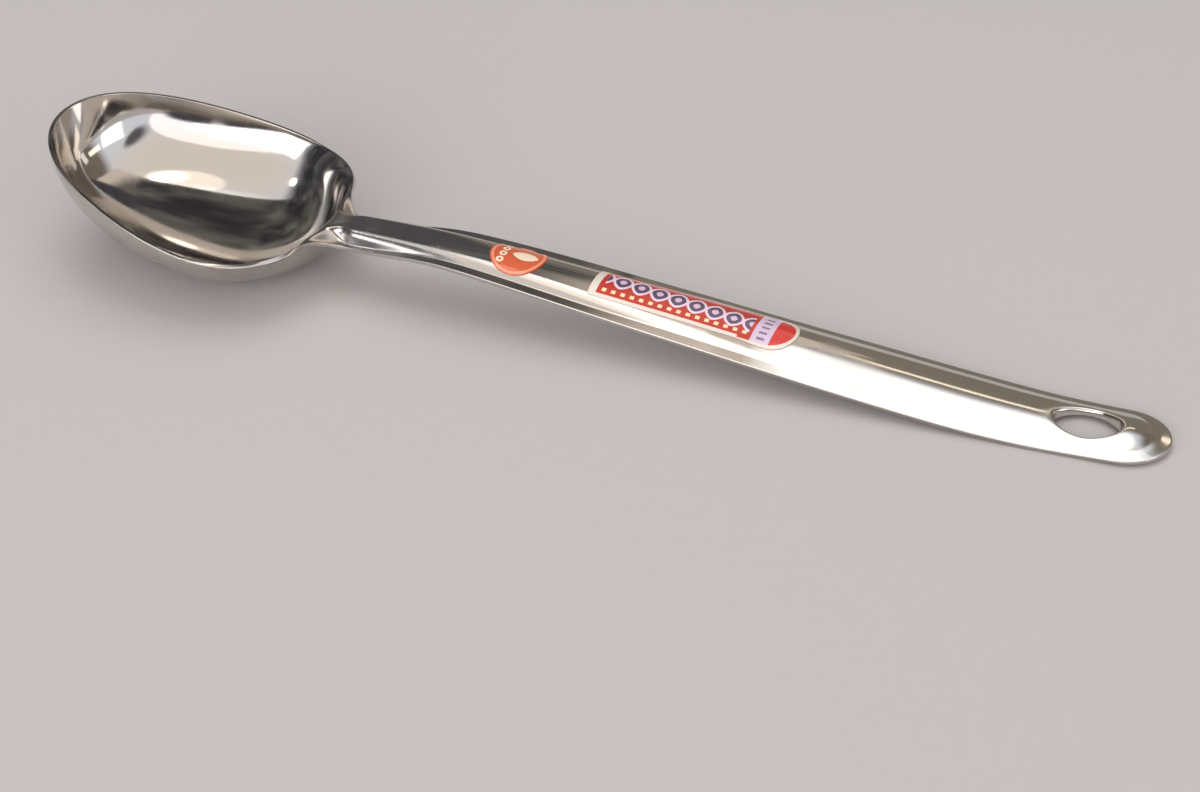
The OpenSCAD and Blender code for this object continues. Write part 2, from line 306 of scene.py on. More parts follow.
rows = [bowl_row(-s, ROUND_CORNER, WIDE_COLUMNS) for s in TIP_ROWS]
for s in NECK_ROWS:
    row = bowl_row(s, NECK_CORNER, narrowing(s))
    row[-1] = row[-1] + outward(row[-1].x) * FLARE * ease((s - 0.5) / 0.5)
    rows.append(row)
print(len(rows), "rows in the bowl,", len(rows[0]), "columns in half of it")

# %% [markdown]
# ## The net for the neck and the handle
# At the neck the sheet comes up the bowl's wall, turns over a lip and goes on as the handle.
# The last row of the bowl follows that lip, and the next rows straighten out from it. Along
# the handle one column follows the foot of the ridge, with its neighbours close by, because
# that crease catches the light as one thin line.

# %% Columns of the handle
RIDGE_SHARES = [0, 0.16, 0.32, 0.48, 0.62, 0.75, 0.86, 0.94, 1]
FLANGE_SHARES = [0.17, 0.4, 1]
NARROWEST_FLANGE = 1.45


def handle_columns(x):
    """Distances of the columns from the middle line."""
    edge = handle_half(x)
    foot = min(ridge_half(x), edge - NARROWEST_FLANGE)
    flange = [foot + s * (edge - foot) for s in FLANGE_SHARES]
    return [foot * s for s in RIDGE_SHARES] + flange


print("columns at the hole", [round(y, 1) for y in handle_columns(HOLE_X)])

# %% Rows of the neck
NECK_END = BOWL_L + 9.0
NECK_STEPS = [0.14, 0.28, 0.42, 0.56, 0.71, 0.86]
FILLET_PULL = 0.7  # a higher share makes a tighter inner corner


def fillet_walk(start, turn, end, count=80):
    """Points on a soft curve round an inner corner, with the length walked so far."""
    handle_a, handle_b = start.lerp(turn, FILLET_PULL), end.lerp(turn, FILLET_PULL)
    walk, total, last = [], 0.0, None
    for k in range(count + 1):
        t = k / count
        point = (1 - t) ** 3 * start + 3 * t * (1 - t) ** 2 * handle_a
        point += 3 * t * t * (1 - t) * handle_b
        point += t ** 3 * end
        total += (point - last).length if last else 0.0
        walk.append((total, point))
        last = point
    return walk


def walk_place(walk, share):
    """Point at a share of the whole walk."""
    goal = share * walk[-1][0]
    for (a, from_a), (b, to_b) in zip(walk, walk[1:]):
        if b >= goal:
            return from_a.lerp(to_b, (goal - a) / max(1e-9, b - a))
    return walk[-1][1]


lip = rows[-1]
straight = [Vector((NECK_END, y, neck_z(NECK_END, y))) for y in handle_columns(NECK_END)]
along_rim = lip[-1] - rows[-2][-1]
turn = lip[-1] + along_rim * (straight[-1].y - lip[-1].y) / along_rim.y
fillet = fillet_walk(lip[-1], turn, straight[-1])
for w in NECK_STEPS:
    bow = walk_place(fillet, w) - lip[-1].lerp(straight[-1], w)
    row = []
    for a, b in zip(lip, straight):
        share = (1 - w) * a.y / lip[-1].y + w * b.y / straight[-1].y
        p = a.lerp(b, w) + bow * share
        row.append(Vector((p.x, p.y, a.z + (b.z - a.z) * ease(w / 0.95))))
    rows.append(row)
print("neck from", round(lip[0].x, 1), "to", NECK_END, "mm")

# %% Rows of the handle
HOLE_ROWS = [HOLE_X + d for d in (-10.4, -7.2, -3.6, 0, 3.6, 7.1, 10.4)]
CLOSE_STEP, WIDE_STEP, STEP_GROWTH = 3.0, 7.5, 0.5
LONG_ROWS = [NECK_END]
step = CLOSE_STEP
while LONG_ROWS[-1] + step < HOLE_ROWS[0] - CLOSE_STEP:
    LONG_ROWS.append(LONG_ROWS[-1] + step)
    step = min(WIDE_STEP, step + STEP_GROWTH)
straight_hole_rows = [x for x in HOLE_ROWS if x <= END_START]
for x in LONG_ROWS + straight_hole_rows:
    rows.append([Vector((x, y, neck_z(x, y))) for y in handle_columns(x)])
first_hole_row = len(rows) - len(straight_hole_rows)
print("handle rows", len(LONG_ROWS), "hole rows start at", first_hole_row)

# %% [markdown]
# The handle's end is round, and so is the end of its ridge. The net gets there by the same
# trick as in the bowl, with rows that bend from straight to round, so no pole is needed.

# %% Rows of the round end
FOOT = ridge_half(END_START) / (END_W / 2)
END_SHARES = [0.18, 0.4, 0.62, 0.8, 0.93, 1]
END_ROWS = [FOOT * s for s in END_SHARES] + [FOOT + (1 - FOOT) * s for s in FLANGE_SHARES]
END_COLUMNS = [y / (END_W / 2) for y in handle_columns(END_START)]


def end_point(u, v):
    """Point on the round end for a place in the square net."""
    # c is the square ring that the place is on, and t how far round it towards the corner.
    c = max(u, v, 1e-9)
    t = min(u, v) / c
    round_turn = math.pi / 4 * t
    square_turn = math.atan(t * math.sqrt((1 - c * c / 2) / (1 - t * t * c * c / 2)))
    k = ease(c / FOOT)
    turn = square_turn + (round_turn - square_turn) * k
    reach = c * (math.sqrt(1 + t * t - c * c * t * t) * (1 - k) + k)
    if v > u:
        turn = math.pi / 2 - turn
    share = reach / FOOT
    long_axis, side_axis = END_ROUND_L - END_FLANGE_W, ridge_half(END_START)
    if share > 1:
        out = (reach - FOOT) / (1 - FOOT)
        a = long_axis + (END_ROUND_L - long_axis) * out
        b = side_axis + (END_W / 2 - side_axis) * out
    else:
        a, b = long_axis * share, side_axis * share
    x, y = END_START + a * math.cos(turn), b * math.sin(turn)
    return Vector((x, y, neck_z(x, y)))


for u in END_ROWS:
    rows.append([end_point(u, v) for v in END_COLUMNS])
ROW_COUNT, COLUMN_COUNT = len(rows), len(rows[0])
print("net of", ROW_COUNT, "rows by", COLUMN_COUNT, "columns for half of the sheet")

# %% [markdown]
# ## Pulling the net into shape
# One flat grid is the blank. In edit mode each of its vertices is picked by its row and column
# and pulled to its place with the move operator, as one would do by hand with a drawing beside.
# Only the half with y above zero is made, because a mirror gives the other half.

# %% The blank, and its half net pulled into place


def pull(vertex, place):
    """Moves one vertex of the mesh in edit mode to a place in millimetres."""
    vertex.select_set(True)
    bpy.ops.transform.translate(value=place * MM - vertex.co)
    vertex.select_set(False)


VERTICES, EDGES, FACES = (True, False, False), (False, True, False), (False, False, True)


def start_edit(piece, picks=VERTICES):
    """Opens a piece in edit mode with nothing picked, and returns its net."""
    bpy.context.view_layer.objects.active = piece
    piece.select_set(True)
    bpy.ops.object.mode_set(mode="EDIT")
    bpy.context.tool_settings.mesh_select_mode = picks
    bpy.ops.mesh.select_all(action="DESELECT")
    return bmesh.from_edit_mesh(piece.data)


TO_FRAME = Vector((-MIDDLE, 0, LIFT))
bpy.ops.mesh.primitive_grid_add(
    x_subdivisions=ROW_COUNT - 1, y_subdivisions=COLUMN_COUNT - 1, size=1)
body = named("spoon_steel")
body.scale = (TOP_L * MM, BOWL_W / 2 * MM, 1)
body.location = (0, BOWL_W / 4 * MM, 0)
bpy.ops.object.transform_apply(location=True, rotation=False, scale=True)
net = start_edit(body)
places = {}
for v in net.verts:
    i = round((v.co.x / (TOP_L * MM) + 0.5) * (ROW_COUNT - 1))
    j = round(v.co.y / (BOWL_W / 2 * MM) * (COLUMN_COUNT - 1))
    places[v.index] = (i, j)
    pull(v, rows[i][j] + TO_FRAME)
bpy.ops.object.mode_set(mode="OBJECT")
print("blank pulled into shape,", len(body.data.vertices), "vertices")

# %% [markdown]
# ## The hang hole with its collar
# The hole isn't just cut: its edge is drawn down, which makes a smooth collar that a hook can't
# wear through. A block of faces is taken out, the ring of vertices round it is pulled to an
# oval, and that ring is extruded in and down three times, which gives the rounded shoulder.

# %% The oval of the hole
HOLE_HALF_L, HOLE_HALF_W, HOLE_END_R = 8.7, 5.7, 3.4


def oval_point(turn, grow):
    """Point on the oval with two long arcs and two round ends, grown outwards."""
    a, b, r = HOLE_HALF_L - HOLE_END_R, HOLE_HALF_W, HOLE_END_R
    long_r = (a * a + b * b - r * r) / (2 * (b - r))
    c, s = math.cos(turn), math.sin(turn)
    low, high = 0.0, 30.0
    for _ in range(40):  # halves the search for the oval's edge
        far = (low + high) / 2
        x, y = abs(far * c), abs(far * s)
        in_end = math.hypot(x - a, y) < r + grow
        in_arcs = math.hypot(x, y + long_r - b) < long_r + grow
        in_arcs = in_arcs and x < a * long_r / (long_r - r)
        low, high = (far, high) if in_end or in_arcs else (low, far)
    return Vector((HOLE_X + far * c, far * s, 0))


print("hole", 2 * HOLE_HALF_L, "by", 2 * HOLE_HALF_W, "mm")

# %% Open the hole
BLOCK_COLUMNS = 6
SHOULDER = 1.7  # width of the rounded shoulder, and where the ring of the net lies
first, last = first_hole_row, first_hole_row + len(HOLE_ROWS) - 1
net = start_edit(body, FACES)
for f in net.faces:
    spots = [places[v.index] for v in f.verts]
    f.select_set(all(first <= i <= last and j <= BLOCK_COLUMNS for i, j in spots))
ring_spots = [(first, j) for j in range(BLOCK_COLUMNS + 1)]
ring_spots += [(i, BLOCK_COLUMNS) for i in range(first + 1, last)]
ring_spots += [(last, j) for j in range(BLOCK_COLUMNS, -1, -1)]
bpy.ops.mesh.delete(type="FACE")
bpy.ops.object.mode_set(mode="OBJECT")
print("block of", last - first, "by", BLOCK_COLUMNS, "faces taken out")

# %% Pull the ring to an oval
# Even turns round half of the oval for the ring's vertices, from the bowl's side outwards.
half_walk, total, past = [], 0.0, None
for k in range(361):
    turn = math.pi * (1 - k / 360)
    p = oval_point(turn, SHOULDER)
    total += (p - past).length if past else 0.0
    half_walk.append((total, turn))
    past = p
RING_TURNS = []
for n in range(len(ring_spots)):
    goal = total * n / (len(ring_spots) - 1)
    RING_TURNS.append(next(turn for walked, turn in half_walk if walked >= goal - 1e-6))


def in_frame(x, y, z):
    """A place on the drawing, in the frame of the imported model."""
    return Vector((x - MIDDLE, y, z + LIFT))


net = start_edit(body)
for (i, j), turn in zip(ring_spots, RING_TURNS):
    start = rows[i][j] + TO_FRAME
    v = min(net.verts, key=lambda v: (v.co / MM - start).length)
    goal = oval_point(turn, SHOULDER)
    pull(v, in_frame(goal.x, goal.y, neck_z(goal.x, goal.y)))
print("hole opened with", len(ring_spots), "vertices in half of its ring")

# %% Three extrusions make the rounded shoulder and the collar
COLLAR_DROP = 3.0
# From one width of the shoulder to the next, and how far down.
DRAWS = ((SHOULDER, 0.75, 0.12), (0.75, 0.12, 0.65), (0.12, 0.0, COLLAR_DROP))
for grow_from, grow, drop in DRAWS:
    bpy.context.tool_settings.mesh_select_mode = EDGES
    bpy.ops.mesh.select_all(action="DESELECT")
    inner = [oval_point(t, grow_from) for t in RING_TURNS]
    for e in net.edges:
        if len(e.link_faces) == 1:
            spots = [Vector((v.co.x / MM + MIDDLE, v.co.y / MM, 0)) for v in e.verts]
            e.select_set(all(min((s - p).length for p in inner) < 0.05 for s in spots))
    bpy.ops.mesh.extrude_edges_move()
    bpy.context.tool_settings.mesh_select_mode = VERTICES
    net = bmesh.from_edit_mesh(body.data)
    fresh = [v for v in net.verts if v.select]
    bpy.ops.mesh.select_all(action="DESELECT")
    for v in fresh:
        here = Vector((v.co.x / MM + MIDDLE, v.co.y / MM, 0))
        turn = min(RING_TURNS, key=lambda t: (oval_point(t, grow_from) - here).length)
        goal = oval_point(turn, grow)
        # The collar's lower edge is level, and the shoulder follows the ridge.
        level = neck_z(HOLE_X, 0) if drop == COLLAR_DROP else neck_z(goal.x, goal.y)
        pull(v, in_frame(goal.x, max(0.0, goal.y), level - drop))
bpy.ops.object.mode_set(mode="OBJECT")
print("collar drawn down, half of the sheet has", len(body.data.polygons), "faces")

# %% [markdown]
# ## From net to sheet
# A mirror adds the other half. Subdivision then rounds the net into one flowing surface, and
# Solidify gives it the thickness of the steel, downwards, so that the drawn side stays where
# it is. The last bevel takes the sharpness off the cut edge, as the polishing wheel does. Its
# clamp is off, because the tight fold at the neck would shrink the whole bevel to nothing.

# %% Mirror, subdivide, thicken and round the edges
SMOOTH_BELOW = math.radians(40)


def finish_with(piece, kind, **settings):
    """Adds a modifier, sets it and applies it."""
    let_go()
    bpy.context.view_layer.objects.active = piece
    piece.select_set(True)
    modifier = piece.modifiers.new(kind.lower(), kind)
    for key, value in settings.items():
        setattr(modifier, key, value)
    bpy.ops.object.modifier_apply(modifier=modifier.name)


WELD = 0.02 * MM
finish_with(
    body, "MIRROR", use_axis=(False, True, False), use_clip=True, merge_threshold=WELD)
finish_with(body, "SUBSURF", levels=2, render_levels=2, boundary_smooth="ALL")
finish_with(body, "SOLIDIFY", thickness=SHEET_T * MM, offset=-1, use_even_offset=False)
finish_with(
    body, "BEVEL", width=CUT_EDGE_R * MM, segments=3, limit_method="ANGLE",
    angle_limit=math.radians(60), use_clamp_overlap=False)
bpy.ops.object.shade_smooth_by_angle(angle=SMOOTH_BELOW)
print("sheet of", len(body.data.polygons), "faces")
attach(body, "root")
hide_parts("spoon_body")

# %% [markdown]
# ## Stickers that follow the ridge
# Each sticker starts flat, at the size it was cut to. Its own UV map keeps that flat drawing in
# millimetres, so the print on it isn't stretched. Then each vertex is laid on the steel at its
# true distance across the ridge, and a shrinkwrap makes it follow the finished sheet closely.

# %% Laying a flat sticker on the sheet
STICKER_GAP, STICKER_T = 0.1, 0.15


def place_across(x, distance):
    """The y that lies at a distance from the middle line, measured over the ridge."""
    y, walked, step = 0.0, 0.0, 0.05
    side = 1 if distance >= 0 else -1
    while walked < abs(distance):
        rise = neck_z(x, side * (y + step)) - neck_z(x, side * y)
        walked += math.hypot(step, rise)
        y += step
    return side * y


def keep_flat_drawing(piece):
    """Writes the flat places, in millimetres, into the piece's UV map."""
    layer = piece.data.uv_layers.active or piece.data.uv_layers.new(name="flat")
    layer.name = "flat"
    for loop in piece.data.loops:
        layer.data[loop.index].uv = piece.data.vertices[loop.vertex_index].co.xy / MM


def lay_on_sheet(piece, start, shift):
    """Lays a flat sticker on the sheet, start millimetres from the tip and shift across."""
    net = start_edit(piece)
    for v in net.verts:
        x, s = start + v.co.x / MM, shift + v.co.y / MM
        y = place_across(x, s)
        pull(v, in_frame(x, y, neck_z(x, y) + STICKER_GAP))
    bpy.ops.object.mode_set(mode="OBJECT")
    finish_with(
        piece, "SHRINKWRAP", target=body, wrap_method="NEAREST_SURFACEPOINT",
        wrap_mode="ABOVE_SURFACE", offset=STICKER_GAP * MM)
    finish_with(piece, "SOLIDIFY", thickness=STICKER_T * MM, offset=1)
    bpy.ops.object.shade_smooth_by_angle(angle=SMOOTH_BELOW)


print("8 mm over the ridge is", round(place_across(TOP_L / 2, 8), 2), "mm seen from above")

# %% The round price sticker
DOT_R = 8.0
DOT_START, DOT_SHIFT = 142.5, 1.1
DOT_RINGS, RING_STEP = 7, 1.0  # rings of faces, so that the flat circle can bend
let_go()
bpy.ops.mesh.primitive_circle_add(vertices=64, radius=DOT_R * MM, fill_type="NGON")
dot = named("round_sticker")
start_edit(dot, FACES)
bpy.ops.mesh.select_all(action="SELECT")
for ring in range(DOT_RINGS):
    bpy.ops.mesh.inset(thickness=RING_STEP * MM)
bpy.ops.mesh.poke()
bpy.ops.object.mode_set(mode="OBJECT")
keep_flat_drawing(dot)
lay_on_sheet(dot, DOT_START, DOT_SHIFT)
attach(dot, "root")
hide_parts("price_dot")
print("round sticker", len(dot.data.polygons), "faces")

# %% [markdown]
# The long sticker is a strip with a square end and a round one. The round end swells a little,
# like a spoon's bowl. Rows of a grid are moved and resized to that outline.

# %% The long sticker
LABEL_L, LABEL_W, LABEL_END = 58.0, 15.0, 7.2
LABEL_START, LABEL_SHIFT = 165.5, 1.6
SWELL, SWELL_START, SWELL_L = 0.6, 42, 8
LONG_STEPS, END_STEPS, ACROSS_STEPS = 34, 14, 16
ALL_STEPS = LONG_STEPS + END_STEPS


def label_half(x):
    """Half the width of the long sticker, flat, at x from its square end."""
    swell = SWELL * ease((x - SWELL_START) / SWELL_L)
    past = max(0.0, x - (LABEL_L - LABEL_END)) / LABEL_END
    return (LABEL_W / 2 + swell) * max(0.03, 1 - past ** 2.4) ** 0.5


def label_row_place(i):
    """Place of row i along the sticker: even steps, then closer ones round the end."""
    if i <= LONG_STEPS:
        return (LABEL_L - LABEL_END) * i / LONG_STEPS
    round_turn = math.pi / 2 * (i - LONG_STEPS) / END_STEPS
    return LABEL_L - LABEL_END + LABEL_END * math.sin(round_turn)


let_go()
bpy.ops.mesh.primitive_grid_add(
    x_subdivisions=ALL_STEPS, y_subdivisions=ACROSS_STEPS, size=1)
label = named("long_sticker")
label.scale = (ALL_STEPS * MM, MM, 1)
label.location = (ALL_STEPS / 2 * MM, 0, 0)
bpy.ops.object.transform_apply(location=True, rotation=False, scale=True)
net = start_edit(label)
label_rows = {}
for v in net.verts:
    label_rows.setdefault(round(v.co.x / MM), []).append(v)
for i, row in label_rows.items():
    for v in row:
        v.select_set(True)
    x = label_row_place(i)
    bpy.ops.transform.translate(value=((x - i) * MM, 0, 0))
    bpy.ops.transform.resize(value=(1, 2 * label_half(x), 1), center_override=(0, 0, 0))
    for v in row:
        v.select_set(False)
bpy.ops.object.mode_set(mode="OBJECT")
print("cut flat, in mm", [round(c / MM, 1) for c in label.dimensions.xy])
keep_flat_drawing(label)
lay_on_sheet(label, LABEL_START, LABEL_SHIFT)
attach(label, "root")
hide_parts("handle_label")
print("long sticker", len(label.data.polygons), "faces")

# %% [markdown]
# ## Finishes
# Colours are picked as on screen, by their sRGB hex code, and Blender works in linear light.
# One function turns the one into the other, and one short function adds every shader node.

# %% Colour and node helpers
SOFT = {"interpolation_type": "SMOOTHSTEP"}  # a map range that starts and stops softly


def paint(code):
    """An sRGB hex code as a linear colour."""
    parts = [int(code[k:k + 2], 16) / 255 for k in (1, 3, 5)]
    return (*[c / 12.92 if c <= 0.04045 else ((c + 0.055) / 1.055) ** 2.4 for c in parts], 1)


def add(tree, kind, inputs=None, **settings):
    """Adds a node with its settings. An input is a number, a colour or another node's socket.

    Inputs without a name of their own go by number: 6 and 7 are the two colours that a
    colour mix goes between, and its output 2 is the mixed colour.
    """
    node = tree.nodes.new("ShaderNode" + kind)
    for key, value in settings.items():
        setattr(node, key, value)
    for key, value in (inputs or {}).items():
        if isinstance(value, bpy.types.NodeSocket):
            tree.links.new(value, node.inputs[key])
        else:
            node.inputs[key].default_value = value
    return node


def new_material(name):
    """A material with its shader, and its node tree."""
    material = bpy.data.materials.new(name)
    material.use_nodes = True
    return material, material.node_tree, material.node_tree.nodes["Principled BSDF"]


def per_metre(size):
    """The scale of a pattern whose marks have a size in millimetres."""
    return 1 / (size * MM)


print("middle grey on screen is", round(paint("#808080")[0], 3), "in linear light")

# %% [markdown]
# ### Bright polished stainless steel
# Polishing mops leave stainless steel nearly as smooth as a mirror, with hair-fine lines along
# the handle. What makes it look real is what hands leave on it: cloudy smears, where the sharp
# reflection turns soft. So roughness is the main pattern here, and the colour hardly changes.

# %% Patterns on the polished steel
SMEAR_L, DRIFT_L = 23.8, 55.6
LINE_L, LINE_GAP, LINE_RISE = 16.7, 0.417, 0.833  # the mop draws its lines along the spoon
steel, tree, shader = new_material("bright_polished_stainless_steel")
spot = add(tree, "TexCoord").outputs["Object"]
place = add(tree, "SeparateXYZ", {"Vector": spot}).outputs
smear = {"Scale": per_metre(SMEAR_L), "Detail": 3, "Roughness": 0.55, "Distortion": 0.6}
smears = add(tree, "TexNoise", {"Vector": spot, **smear}).outputs["Fac"]
drift = add(tree, "TexNoise", {"Vector": spot, "Scale": per_metre(DRIFT_L)}).outputs["Fac"]
stretch = [per_metre(size) for size in (LINE_L, LINE_GAP, LINE_RISE)]
stretched = add(tree, "Mapping", {"Vector": spot, "Scale": stretch}).outputs["Vector"]
lines = add(tree, "TexNoise", {"Vector": stretched, "Scale": 1}).outputs["Fac"]
print("smears", SMEAR_L, "mm across, lines", LINE_GAP, "mm apart")

# %% Where the steel is duller
# Fingers and a cloth leave smears all over. The near half of the bowl was wiped last, and the
# cloth left it cloudier. A mop doesn't reach well into the neck, so the steel stays satin there.
SATIN = 0.13
RANGES = {  # what is read, where it starts and where it is full, and the values there
    "dull": (smears, 0.5, 0.74, 0.06, 0.21, SOFT),
    "cloud": (smears, 0.42, 0.62, 0, 0.2, SOFT),
    "in_bowl": (place["X"], -74 * MM, -86 * MM, 0, 1, {}),
    "near_half": (place["Y"], 4 * MM, -18 * MM, 0, 1, {}),
    "neck_start": (place["X"], -86 * MM, -72 * MM, 0, 1, SOFT),
    "neck_end": (place["X"], 4 * MM, -50 * MM, 0, 1, SOFT),
    "fine": (lines, 0.3, 0.7, 0, 0.035, {}),
}
SUMS = [
    ("wiped", "MULTIPLY", "in_bowl", "near_half"),
    ("cloudier", "MULTIPLY_ADD", "cloud", "wiped", "dull"),
    ("at_neck", "MULTIPLY", "neck_start", "neck_end"),
    ("satin", "MULTIPLY_ADD", "at_neck", SATIN, "cloudier"),
    ("rough", "ADD", "satin", "fine"),
]
found = {}
for name, (source, start, full, least, most, settings) in RANGES.items():
    limits = {"From Min": start, "From Max": full, "To Min": least, "To Max": most}
    limits["Value"] = source
    found[name] = add(tree, "MapRange", limits, **settings).outputs["Result"]
for name, operation, *terms in SUMS:
    terms = dict(enumerate(found.get(term, term) for term in terms))
    found[name] = add(tree, "Math", terms, operation=operation).outputs["Value"]
tree.links.new(found["rough"], shader.inputs["Roughness"])
print("roughness from", len(RANGES), "ranges and", len(SUMS), "sums")

# %% The metal's own colour, with a faint warm drift
tints = {"Factor": drift, 6: paint("#CDC9C5"), 7: paint("#D1CBC4")}
tint = add(tree, "Mix", tints, data_type="RGBA")
tree.links.new(tint.outputs[2], shader.inputs["Base Color"])
shader.inputs["Metallic"].default_value = 1
body.data.materials.clear()
body.data.materials.append(steel)
print("steel finish with", len(tree.nodes), "nodes")

# %% [markdown]
# ### Printed stickers
# Both stickers are glossy printed film, and their coat gives them a small sharp shine over the
# print. A picture of the print would blur close up. So the print is drawn with sums on the
# sticker's own flat millimetres: u along it and v across. Each mark below is a name with its
# steps, where None stands for the result so far, and it ends as 1 inside the mark and 0 outside.
# The layers then lay a colour on each mark, from the bottom up.

# %% Film with a print


def printed_film(name, grain, tints, marks, layers, gloss):
    """Glossy film: grain of a size between two tints, with the layers of the print on it."""
    film, tree, shader = new_material(name)
    drawing = add(tree, "UVMap", uv_map="flat").outputs["UV"]
    drawing = add(tree, "SeparateXYZ", {"Vector": drawing}).outputs
    found = {"u": drawing["X"], "v": drawing["Y"]}
    for mark, *steps in marks:
        value = None
        for operation, *terms in steps:
            terms = [value if term is None else found.get(term, term) for term in terms]
            step = add(tree, "Math", dict(enumerate(terms)), operation=operation)
            value = step.outputs["Value"]
        found[mark] = value
    spot = add(tree, "TexCoord").outputs["Object"]
    specks = add(tree, "TexNoise", {"Vector": spot, "Scale": per_metre(grain)})
    found["specks"], colour = specks.outputs["Fac"], paint(tints[0])
    for mark, code in [("specks", tints[1])] + layers:
        inputs = {"Factor": found[mark], 6: colour, 7: paint(code)}
        colour = add(tree, "Mix", inputs, data_type="RGBA").outputs[2]
    tree.links.new(colour, shader.inputs["Base Color"])
    for socket, value in zip(("Roughness", "Coat Weight", "Coat Roughness"), gloss):
        shader.inputs[socket].default_value = value
    print(name, "with", len(marks), "marks and", len(layers), "layers")
    return film


# %% Print on the round sticker
RING_R, RING_HALF_W = 7.25, 0.35
LEAF_U, LEAF_R2 = 2.2, 24  # the leaf is what two circles of radius 4.9 mm share
BEAD_GAP, BEAD_U, BEAD_R, BEAD_HALF_W, BEADS_END = 2.6, 4.1, 0.75, 0.32, 5.2
DOT_MARKS = [
    ("uu", ("MULTIPLY", "u", "u")),
    ("radius", ("MULTIPLY", "v", "v"), ("ADD", "uu", None), ("SQRT", None)),
    ("ring", ("SUBTRACT", "radius", RING_R), ("ABSOLUTE", None),
     ("LESS_THAN", None, RING_HALF_W)),
    ("leaf_uu", ("SUBTRACT", "u", LEAF_U), ("MULTIPLY", None, None)),
    ("near_circle", ("ADD", "v", 3.4), ("MULTIPLY", None, None), ("ADD", "leaf_uu", None),
     ("LESS_THAN", None, LEAF_R2)),
    ("far_circle", ("SUBTRACT", "v", 2.6), ("MULTIPLY", None, None),
     ("ADD", "leaf_uu", None), ("LESS_THAN", None, LEAF_R2)),
    ("leaf", ("MULTIPLY", "near_circle", "far_circle")),
    # Small rings in a row beside the leaf, counted from eight gaps below the middle.
    ("bead_vv", ("ADD", "v", 8 * BEAD_GAP), ("MODULO", None, BEAD_GAP),
     ("SUBTRACT", None, BEAD_GAP / 2), ("POWER", None, 2)),
    ("bead_uu", ("ADD", "u", BEAD_U), ("POWER", None, 2)),
    ("bead", ("ADD", "bead_vv", "bead_uu"), ("SQRT", None), ("SUBTRACT", None, BEAD_R),
     ("ABSOLUTE", None), ("LESS_THAN", None, BEAD_HALF_W)),
    ("in_row", ("ABSOLUTE", "v"), ("LESS_THAN", None, BEADS_END)),
    ("beads", ("MULTIPLY", "bead", "in_row")),
]
DOT_LAYERS = [("ring", "#F0997A"), ("leaf", "#F8E7CC"), ("beads", "#F8E7CC")]
dot.data.materials.append(printed_film(
    "glossy_orange_price_sticker", 1.11, ("#D05A33", "#D96A42"), DOT_MARKS, DOT_LAYERS,
    gloss=(0.16, 0.6, 0.08)))

# %% Print on the long sticker
STRIP_START, STRIP_END = 3.4, 45.6
CELL_L, CELL_POWER = 5.4, 1.6  # a power between 1 and 2 makes a lozenge with soft sides
DASH_L, DASH_V, DASH_HALF = 2.7, 4.75, 0.62
BAND_U, BAND_HALF = 49.2, 2.6
EDGE_U, EDGE_V, EDGE_R = 2.1, 6.35, 7.15
LABEL_MARKS = [
    # The row of lozenges leans across the strip.
    ("lean", ("MULTIPLY", "u", 0.035), ("SUBTRACT", None, 0.2)),
    ("mid", ("SUBTRACT", "v", 0.6), ("ADD", None, "lean")),
    ("cell", ("ADD", "u", 0.4), ("MODULO", None, CELL_L), ("SUBTRACT", None, CELL_L / 2),
     ("ABSOLUTE", None)),
    ("bulge", ("ABSOLUTE", "mid"), ("MULTIPLY", None, 0.82), ("POWER", None, CELL_POWER)),
    ("lozenge", ("POWER", "cell", CELL_POWER), ("ADD", None, "bulge"),
     ("POWER", None, 1 / CELL_POWER)),
    ("before_end", ("LESS_THAN", "u", STRIP_END)),
    ("in_strip", ("GREATER_THAN", "u", STRIP_START), ("MULTIPLY", None, "before_end")),
    ("outline", ("LESS_THAN", "lozenge", 2.95), ("MULTIPLY", None, "in_strip")),
    ("core", ("LESS_THAN", "lozenge", 2.2), ("MULTIPLY", None, "in_strip")),
    ("heart", ("LESS_THAN", "lozenge", 1.0), ("MULTIPLY", None, "in_strip")),
    # Short cream dashes along the near edge.
    ("dash_u", ("MODULO", "u", DASH_L), ("SUBTRACT", None, DASH_L / 2),
     ("ABSOLUTE", None), ("LESS_THAN", None, DASH_HALF)),
    ("dash_v", ("ADD", "v", DASH_V), ("ABSOLUTE", None), ("LESS_THAN", None, DASH_HALF)),
    ("dash", ("MULTIPLY", "dash_u", "dash_v"), ("MULTIPLY", None, "in_strip")),
    # The lilac band with its small marks, and the red round end.
    ("from_band", ("SUBTRACT", "u", BAND_U), ("ABSOLUTE", None)),
    ("band", ("LESS_THAN", "from_band", BAND_HALF)),
    ("on_band", ("LESS_THAN", "from_band", 1.1)),
    ("band_mark", ("ADD", "v", 30), ("MODULO", None, 2.4), ("LESS_THAN", None, 1.0),
     ("MULTIPLY", None, "on_band")),
    ("dome", ("GREATER_THAN", "u", BAND_U + BAND_HALF)),
    # The unprinted edge, left pale by the cutter.
    ("square_end", ("LESS_THAN", "u", EDGE_U)),
    ("before_swell", ("LESS_THAN", "u", 43)),
    ("sides", ("ABSOLUTE", "v"), ("GREATER_THAN", None, EDGE_V),
     ("MULTIPLY", None, "before_swell")),
    ("past", ("SUBTRACT", "u", 50), ("MAXIMUM", None, 0), ("POWER", None, 2)),
    ("after_sides", ("GREATER_THAN", "u", 42.9)),
    ("round_edge", ("MULTIPLY", "v", "v"), ("ADD", None, "past"), ("SQRT", None),
     ("GREATER_THAN", None, EDGE_R), ("MULTIPLY", None, "after_sides")),
    ("pale", ("MAXIMUM", "square_end", "sides"), ("MAXIMUM", None, "round_edge")),
]
